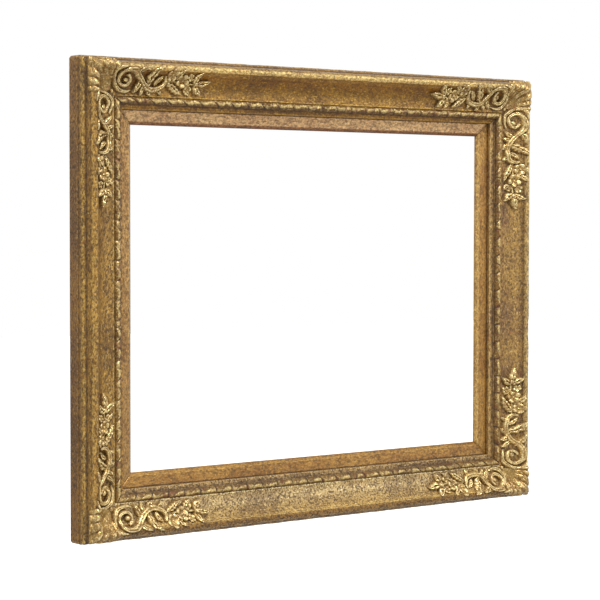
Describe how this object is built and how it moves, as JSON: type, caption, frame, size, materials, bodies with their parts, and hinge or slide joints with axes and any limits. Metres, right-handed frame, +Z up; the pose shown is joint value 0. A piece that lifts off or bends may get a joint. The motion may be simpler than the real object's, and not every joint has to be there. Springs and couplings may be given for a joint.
{
  "type": "picture frame",
  "caption": "Gilded carved picture frame with corner scrolls, flower sprays, a leaf strip, a liner, swinging hanger rings and turn buttons behind.",
  "frame": {"origin": "centre of the picture opening, on the wall plane behind the moulding", "axes": "+X along the frame to the viewer's right, +Y into the wall, +Z up; the front faces -Y"},
  "size_m": [0.766, 0.0582, 0.6136],
  "materials": {
    "gilded_moulding": "worn water gilding over gesso and bole",
    "gilded_strip": "worn gilding, burnished on the crests",
    "gilded_ornament": "worn gilding with dark toning in the recesses",
    "gilded_liner": "matt sanded gilding",
    "steel_wedges": "bare spring steel",
    "steel_screws": "zinc plated",
    "plated_hanger": "dulled plating",
    "brass_buttons": "dull lacquered brass"
  },
  "bodies": {
    "frame": {"rail_top": "gilded_moulding", "rail_bottom": "gilded_moulding", "rail_left": "gilded_moulding", "rail_right": "gilded_moulding", "sight_strip_top": "gilded_strip", "sight_strip_bottom": "gilded_strip", "sight_strip_left": "gilded_strip", "sight_strip_right": "gilded_strip", "liner_top": "gilded_liner", "liner_bottom": "gilded_liner", "liner_left": "gilded_liner", "liner_right": "gilded_liner", "corner_leaf_top_left": "gilded_ornament", "corner_leaf_top_right": "gilded_ornament", "corner_leaf_bottom_left": "gilded_ornament", "corner_leaf_bottom_right": "gilded_ornament", "scroll_top_left_across": "gilded_ornament", "flower_spray_top_left_across": "gilded_ornament", "scroll_top_left_upright": "gilded_ornament", "flower_spray_top_left_upright": "gilded_ornament", "scroll_top_right_across": "gilded_ornament", "flower_spray_top_right_across": "gilded_ornament", "scroll_top_right_upright": "gilded_ornament", "flower_spray_top_right_upright": "gilded_ornament", "scroll_bottom_left_across": "gilded_ornament", "flower_spray_bottom_left_across": "gilded_ornament", "scroll_bottom_left_upright": "gilded_ornament", "flower_spray_bottom_left_upright": "gilded_ornament", "scroll_bottom_right_across": "gilded_ornament", "flower_spray_bottom_right_across": "gilded_ornament", "scroll_bottom_right_upright": "gilded_ornament", "flower_spray_bottom_right_upright": "gilded_ornament", "rail_v_nails": "steel_wedges", "liner_v_nails": "steel_wedges", "liner_points": "steel_wedges", "hanger_plate_left": "plated_hanger", "hanger_plate_right": "plated_hanger", "hanger_screws": "steel_screws", "turn_button_screws": "steel_screws"},
    "hanger_ring_left": {"hanger_ring_left": "plated_hanger"},
    "hanger_ring_right": {"hanger_ring_right": "plated_hanger"},
    "turn_button_bottom_left": {"turn_button_bottom_left": "brass_buttons"},
    "turn_button_bottom_right": {"turn_button_bottom_right": "brass_buttons"},
    "turn_button_left": {"turn_button_left": "brass_buttons"},
    "turn_button_right": {"turn_button_right": "brass_buttons"},
    "turn_button_top_left": {"turn_button_top_left": "brass_buttons"},
    "turn_button_top_right": {"turn_button_top_right": "brass_buttons"}
  },
  "joints": [
    {"name": "hanger_ring_left_swing", "type": "hinge", "parent": "frame", "child": "hanger_ring_left", "pos_m": [-0.353, 0.0028, 0.12272], "axis": [1, 0, 0], "range_deg": [0, 180]},
    {"name": "hanger_ring_right_swing", "type": "hinge", "parent": "frame", "child": "hanger_ring_right", "pos_m": [0.353, 0.0028, 0.12272], "axis": [1, 0, 0], "range_deg": [0, 180]},
    {"name": "turn_button_top_left_turn", "type": "hinge", "parent": "frame", "child": "turn_button_top_left", "pos_m": [-0.21448, -0.0022, 0.2373], "axis": [0, -1, 0], "range_deg": [0, 180]},
    {"name": "turn_button_top_right_turn", "type": "hinge", "parent": "frame", "child": "turn_button_top_right", "pos_m": [0.21448, -0.0022, 0.2373], "axis": [0, -1, 0], "range_deg": [0, 180]},
    {"name": "turn_button_bottom_left_turn", "type": "hinge", "parent": "frame", "child": "turn_button_bottom_left", "pos_m": [-0.21448, -0.0022, -0.2373], "axis": [0, -1, 0], "range_deg": [0, 180]},
    {"name": "turn_button_bottom_right_turn", "type": "hinge", "parent": "frame", "child": "turn_button_bottom_right", "pos_m": [0.21448, -0.0022, -0.2373], "axis": [0, -1, 0], "range_deg": [0, 180]},
    {"name": "turn_button_left_turn", "type": "hinge", "parent": "frame", "child": "turn_button_left", "pos_m": [-0.3135, -0.0022, 0], "axis": [0, -1, 0], "range_deg": [0, 180]},
    {"name": "turn_button_right_turn", "type": "hinge", "parent": "frame", "child": "turn_button_right", "pos_m": [0.3135, -0.0022, 0], "axis": [0, -1, 0], "range_deg": [0, 180]}
  ]
}
